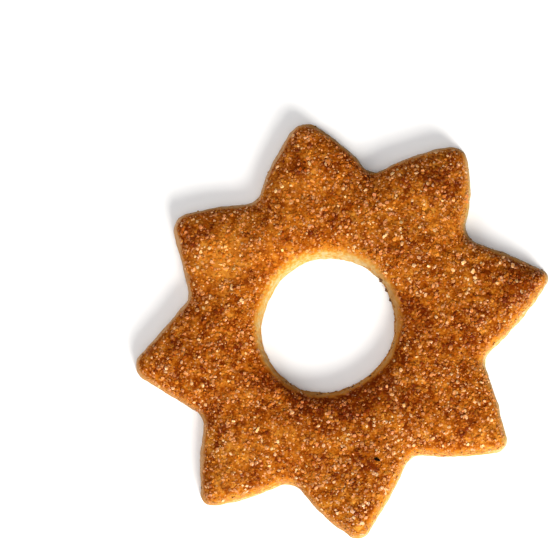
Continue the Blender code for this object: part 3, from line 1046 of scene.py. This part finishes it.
# ---------------------------------------------------------------------------
# Ground cinnamon: dull dark specks of bark, ground to powder and mixed with the
# sugar before it was shaken on. They are caught between the sugar grains.
# ---------------------------------------------------------------------------
SPECK_COUNT = 800
SPECK_SIZES = (0.14, 0.34)
SPECK_UNEVENNESS = (0.6, 1.3)
SPECK_FLATNESS = 0.5
SPECK_LEAN = 0.3
SPECK_SINK = 0.1
SPECK_POINTS = 6
SPECK_BOXINESS = 0.1
SPECK_SEEDS = range(50, 56)
SPECK_CROWDING = 3
POWDER_ROUGHNESS = 0.9
POWDER_SHINE = 0.02
SPECK_TINTS = (
    (0.70, (0.19, 0.036, 0.003)),
    (0.25, (0.13, 0.024, 0.002)),
    (0.05, (0.06, 0.014, 0.003)),
)

speck_cover = sugar_cover * quad_dusting_and_shade**SPECK_CROWDING * inner_share
place, normal, quad = scattered(SPECK_COUNT, speck_cover, rng)
size, stretch = drawn_sizes(SPECK_COUNT, SPECK_SIZES, SPECK_UNEVENNESS, SPECK_FLATNESS, rng)
colour = tinted(SPECK_COUNT, SPECK_TINTS, rng)
place = sunk(place, normal, size, SPECK_SINK)
shapes = [blocky_grain(SPECK_POINTS, seed, SPECK_BOXINESS) for seed in SPECK_SEEDS]
turn = lying_turns(normal, SPECK_LEAN, rng)
powder = Nodes("ground_cinnamon")
powder.link(powder.attribute("tint", "Color"), "Base Color")
powder.set("Roughness", POWDER_ROUGHNESS)
powder.set("Specular IOR Level", POWDER_SHINE)
grain_piece("cinnamon_specks", shapes, place, turn, stretch, colour, colour, powder.material)

# ---------------------------------------------------------------------------
# Bark flecks: thin dark chips of cinnamon bark that missed the grinder. The one
# large chip lies on the lower side of the ring.
# ---------------------------------------------------------------------------
FLECK_COUNT = 60
FLECK_SIZES = (0.4, 0.8)
FLECK_SHAPE = (1.0, 0.45, 0.25)
FLECK_LEAN = 0.3
FLECK_LIFT = 0.03
FLECK_POINTS = 12
FLECK_BOXINESS = 0.2
FLECK_SEEDS = range(60, 64)
FLECK_TINTS = ((0.5, (0.07, 0.02, 0.008)), (0.5, (0.12, 0.03, 0.01)))
CHIP_AT = (8.5, -26.3)
CHIP_SIZE = 1.5
CHIP_LIFT = 0.2
CHIP_TURN = -0.4
CHIP_COLOUR = (0.006, 0.002, 0.001)

place, normal, quad = scattered(FLECK_COUNT, speck_cover, rng)
place[0, :2] = np.array(CHIP_AT) - star_middle
place[0, 2] = top_height(place[:1, :2])[0] + CHIP_LIFT
size = rng.uniform(*FLECK_SIZES, FLECK_COUNT)
size[0] = CHIP_SIZE
stretch = size[:, None] * FLECK_SHAPE
colour = tinted(FLECK_COUNT, FLECK_TINTS, rng)
colour[0] = CHIP_COLOUR
turn = lying_turns(normal, FLECK_LEAN, rng)
turn[0] = np.array(Matrix.Rotation(CHIP_TURN, 3, "Z"))
place = place + normal * FLECK_LIFT
shapes = [blocky_grain(FLECK_POINTS, seed, FLECK_BOXINESS) for seed in FLECK_SEEDS]
grain_piece("bark_flecks", shapes, place, turn, stretch, colour, colour, powder.material)

# ---------------------------------------------------------------------------
# Crumbs: bits of dough torn by the cutter and left hanging along the cut edges,
# most of them round the hole, on the side to which the cutter dragged them.
# ---------------------------------------------------------------------------
CRUMB_COUNT = 160
CRUMB_SIZES = (0.25, 0.8)
CRUMB_SIZE_POWER = 1.3
CRUMB_UNEVENNESS = (0.7, 1.2)
CRUMB_SINK = 0.15
CRUMB_LEAN = 0.5
CRUMB_POINTS = 10
CRUMB_BOXINESS = 0.15
CRUMB_SEEDS = range(70, 76)
CRUMB_INSET = 0.4
CRUMB_LIFT = 0.7
CRUMB_TINTS = (
    (0.45, (0.32, 0.12, 0.02)),
    (0.25, (0.42, 0.22, 0.06)),
    (0.30, (0.15, 0.055, 0.015)),
)
AT_HOLE_SHARE = 0.8
DRAG_SPREAD = 0.3
DRAG_AT_HOLE = -35
DRAG_AT_OUTER_EDGE = 80
DRAG_LEAST = -0.2
# The larger burrs, singed dark, as (x, y, size) from the star's middle.
BURR_COLOUR = (0.12, 0.062, 0.032)
BURR_HEIGHT = 1.5
BURR_HEIGHT_WEIGHT = 0.2
BURRS = (
    (3.7, -12.0, 1.1),
    (3.0, -12.3, 0.8),
    (7.3, -9.9, 0.8),
    (-2.5, -13.4, 0.9),
    (9.3, 9.1, 1.3),
    (10.2, 7.2, 1.1),
    (11.2, 5.2, 0.9),
    (12.0, -3.5, 0.5),
    (-26.3, -31.7, 0.6),
    (41.2, 10.4, 0.8),
    (33.1, 14.9, 0.6),
    (38.9, 12.2, 0.5),
)

row = rng.choice(np.arange(1, FOOT_ROWS + WALL_ROWS), CRUMB_COUNT)
at_hole = rng.uniform(0, 1, CRUMB_COUNT) < AT_HOLE_SHARE
row = np.where(at_hole, UNDER_FROM - 1 - row, row)
column = rng.integers(0, AROUND, CRUMB_COUNT)

# A crumb on the wrong side for the cutter's drag goes to the edge across the star.
side_at_hole = spoke_turn[column] + rng.normal(0, DRAG_SPREAD, CRUMB_COUNT)
drag_at_hole = np.cos(side_at_hole - math.radians(DRAG_AT_HOLE))
drag_at_edge = np.cos(facing[column] - math.radians(DRAG_AT_OUTER_EDGE))
kept = np.where(at_hole, drag_at_hole, drag_at_edge) > DRAG_LEAST
column = np.where(kept, column, (column + AROUND // 2) % AROUND)
spot = row * AROUND + column

size = rng.uniform(*CRUMB_SIZES, CRUMB_COUNT) ** CRUMB_SIZE_POWER
off_height = BURR_HEIGHT_WEIGHT * np.abs(points[:, 2] - BURR_HEIGHT)
for index, (x, y, burr_size) in enumerate(BURRS):
    off_place = np.linalg.norm(points[:, :2] + star_middle - (x, y), axis=1)
    spot[index] = np.argmin(off_place + off_height)
    size[index] = burr_size
stretch = size[:, None] * rng.uniform(*CRUMB_UNEVENNESS, (CRUMB_COUNT, 3))
place = sunk(points[spot], directions(outward[spot]), size, CRUMB_SINK)
place[:, :2] = np.clip(place[:, :2], low_corner[:2] + CRUMB_INSET, high_corner[:2] - CRUMB_INSET)
place[:, 2] = np.maximum(place[:, 2], size * CRUMB_LIFT)
colour = tinted(CRUMB_COUNT, CRUMB_TINTS, rng)
colour[: len(BURRS)] = BURR_COLOUR
shapes = [blocky_grain(CRUMB_POINTS, seed, CRUMB_BOXINESS) for seed in CRUMB_SEEDS]
turn = lying_turns(outward[spot], CRUMB_LEAN, rng)
grain_piece("edge_crumbs", shapes, place, turn, stretch, colour, colour, powder.material)

# ---------------------------------------------------------------------------
# The table: covered in plain white paper, lit by soft studio lamps and looked at from
# almost straight above. It is the stage, and no part of the cookie.
# ---------------------------------------------------------------------------
TABLE_REACH = 1.2
TABLE_GAP = 0.02
PAPER_COLOUR = (0.93, 0.93, 0.93, 1)
PAPER_ROUGHNESS = 0.9
table_corners = [
    (-TABLE_REACH, -TABLE_REACH, 0),
    (TABLE_REACH, -TABLE_REACH, 0),
    (TABLE_REACH, TABLE_REACH, 0),
    (-TABLE_REACH, TABLE_REACH, 0),
]
table_mesh = bpy.data.meshes.new("table")
table_mesh.from_pydata(table_corners, [], [(0, 1, 2, 3)])
table = bpy.data.objects.new("table", table_mesh)
table.location.z = -TABLE_GAP * MM
bpy.context.scene.collection.objects.link(table)
paper = Nodes("white_paper")
paper.set("Base Color", PAPER_COLOUR)
paper.set("Roughness", PAPER_ROUGHNESS)
table_mesh.materials.append(paper.material)

# Each lamp: name, azimuth, elevation, distance and width in metres, watts, colour.
LAMPS = (
    ("key", -60, 28, 0.9, 0.55, 17.5, (1.0, 0.97, 0.92)),
    ("left_fill", 170, 30, 1.0, 0.8, 6.0, (1.0, 0.98, 0.97)),
    ("overhead", -60, 75, 1.2, 0.9, 5.0, (0.97, 0.98, 1.0)),
)
ROOM_COLOUR = (0.95, 0.97, 1.0, 1)
ROOM_STRENGTH = 0.13


def toward(azimuth, elevation):
    """The direction from the cookie to something at this azimuth and elevation."""
    turn = math.radians(azimuth)
    lift = math.radians(elevation)
    return Vector((math.cos(turn) * math.cos(lift), math.sin(turn) * math.cos(lift), math.sin(lift)))


for name, azimuth, elevation, distance, width, watts, colour in LAMPS:
    lamp = bpy.data.lights.new(name, "AREA")
    lamp.shape = "DISK"
    lamp.size = width
    lamp.energy = watts
    lamp.color = colour
    light = bpy.data.objects.new(name, lamp)
    back = toward(azimuth, elevation)
    light.location = back * distance
    light.rotation_mode = "QUATERNION"
    light.rotation_quaternion = back.to_track_quat("Z", "Y")
    bpy.context.scene.collection.objects.link(light)

world = bpy.data.worlds.new("room")
world.use_nodes = True
background = world.node_tree.nodes["Background"]
background.inputs["Color"].default_value = ROOM_COLOUR
background.inputs["Strength"].default_value = ROOM_STRENGTH
bpy.context.scene.world = world
bpy.context.scene.view_settings.view_transform = "Standard"

# The camera: its distance and the width it takes in, in metres, its lean from straight
# above, the side it leans to, and the place it is aimed at, in millimetres.
CAMERA_DISTANCE = 0.40
CAMERA_FIELD = 0.1114
CAMERA_LEAN = 5.0
CAMERA_FROM = -68.0
CAMERA_AIM = (-12.3, 9.8, 3.0)
CLIP_START = 0.01
aim = Vector(CAMERA_AIM) * MM
back = toward(CAMERA_FROM, 90 - CAMERA_LEAN)
right = Vector((0, 1, 0)).cross(back).normalized()
camera_data = bpy.data.cameras.new("camera")
camera_data.angle = 2 * math.atan(CAMERA_FIELD / 2 / CAMERA_DISTANCE)
camera_data.clip_start = CLIP_START
camera = bpy.data.objects.new("camera", camera_data)
stance = Matrix((right, back.cross(right), back)).transposed().to_4x4()
camera.matrix_world = Matrix.Translation(aim + back * CAMERA_DISTANCE) @ stance
bpy.context.scene.collection.objects.link(camera)
bpy.context.scene.camera = camera
